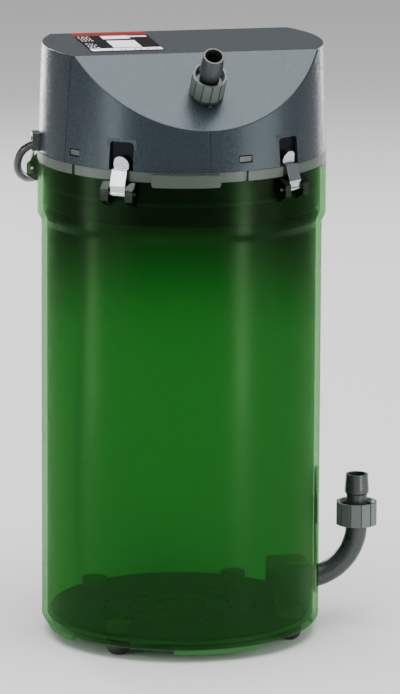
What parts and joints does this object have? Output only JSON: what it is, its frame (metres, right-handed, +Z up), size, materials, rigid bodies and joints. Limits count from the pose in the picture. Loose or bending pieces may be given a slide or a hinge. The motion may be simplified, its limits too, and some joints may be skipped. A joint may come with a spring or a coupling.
{
  "type": "canister filter",
  "caption": "External aquarium canister filter: translucent green canister, clipped-on dark pump head, hose tails with union nuts, and a mains cord",
  "frame": {"origin": "on the canister's axis, at the height of the feet's flats", "axes": "+Z is up along the canister, -Y is the front with the outlet, +X is the side with the inlet elbow"},
  "size_m": [0.2628, 0.289, 0.4394],
  "materials": {
    "green_translucent": "translucent tinted moulded plastic",
    "dark_head": "dark blue-grey finely textured plastic",
    "dark_gloss": "dark grey glossy moulding",
    "nut_grey": "greenish grey satin moulding",
    "inner_black": "black plastic",
    "rubber_black": "soft black rubber",
    "stainless": "bright stainless strip",
    "steel_pin": "plain steel",
    "label": "printed adhesive label",
    "core_steel": "laminated core",
    "copper": "enamelled copper winding",
    "ceramic": "ground ceramic",
    "ferrite": "ferrite magnet",
    "impeller_blue": "grey plastic",
    "cord_black": "black cord sheath",
    "pin_metal": "plated pins"
  },
  "bodies": {
    "canister": {"canister": "green_translucent", "rubber_feet": "rubber_black", "lower_strainer": "inner_black", "inlet_chamber": "green_translucent", "inlet_elbow": "dark_gloss", "inlet_grommet": "rubber_black", "inlet_lock_bar": "nut_grey", "clip_brackets": "green_translucent", "clip_axles": "steel_pin"},
    "pump_head": {"head_base": "nut_grey", "head_cover": "dark_head", "rating_label": "label", "head_seal": "rubber_black", "outlet_tube": "dark_gloss", "outlet_seal": "rubber_black", "stator_core": "core_steel", "coil_bobbins": "inner_black", "stator_coils": "copper", "stator_screws": "steel_pin", "pump_cover": "inner_black", "pump_cover_screws": "steel_pin", "pump_shaft": "ceramic", "shaft_bushes": "rubber_black", "cable_gland": "dark_gloss", "cord_lead": "cord_black", "cord_coil": "cord_black", "cord_tie": "inner_black", "plug_body": "cord_black", "plug_pins": "pin_metal"},
    "rotor": {"impeller": "impeller_blue", "rotor_magnet": "ferrite"},
    "inlet_nut": {"inlet_nut": "nut_grey"},
    "outlet_nut": {"outlet_nut": "nut_grey"},
    "clip_1": {"clip_1": "stainless"},
    "clip_2": {"clip_2": "stainless"},
    "clip_3": {"clip_3": "stainless"},
    "clip_4": {"clip_4": "stainless"},
    "clip_5": {"clip_5": "stainless"}
  },
  "joints": [
    {"name": "head_lift", "type": "slide", "parent": "canister", "child": "pump_head", "axis": [0, 0, 1], "range_m": [0, 0.12]},
    {"name": "rotor_spin", "type": "hinge", "parent": "pump_head", "child": "rotor", "pos_m": [0, 0, 0.34], "axis": [0, 0, 1], "continuous": true},
    {"name": "inlet_nut_turn", "type": "hinge", "parent": "canister", "child": "inlet_nut", "pos_m": [0.1305, 0, 0.08], "axis": [0, 0, 1], "range_deg": [0, 720]},
    {"name": "outlet_nut_turn", "type": "hinge", "parent": "pump_head", "child": "outlet_nut", "pos_m": [0.0028, -0.072, 0.40522], "axis": [0, -0.6374, 0.7705], "range_deg": [0, 720]},
    {"name": "clip_1_swing", "type": "hinge", "parent": "canister", "child": "clip_1", "pos_m": [-0.0623, -0.08576, 0.338], "axis": [0.809, -0.5878, 0], "range_deg": [0, 105]},
    {"name": "clip_2_swing", "type": "hinge", "parent": "canister", "child": "clip_2", "pos_m": [0.0623, -0.08576, 0.338], "axis": [0.809, 0.5878, 0], "range_deg": [0, 105]},
    {"name": "clip_3_swing", "type": "hinge", "parent": "canister", "child": "clip_3", "pos_m": [0.10081, 0.03276, 0.338], "axis": [-0.309, 0.9511, 0], "range_deg": [0, 105]},
    {"name": "clip_4_swing", "type": "hinge", "parent": "canister", "child": "clip_4", "pos_m": [0, 0.106, 0.338], "axis": [-1, 0, 0], "range_deg": [0, 105]},
    {"name": "clip_5_swing", "type": "hinge", "parent": "canister", "child": "clip_5", "pos_m": [-0.10081, 0.03276, 0.338], "axis": [-0.309, -0.9511, 0], "range_deg": [0, 65]}
  ]
}
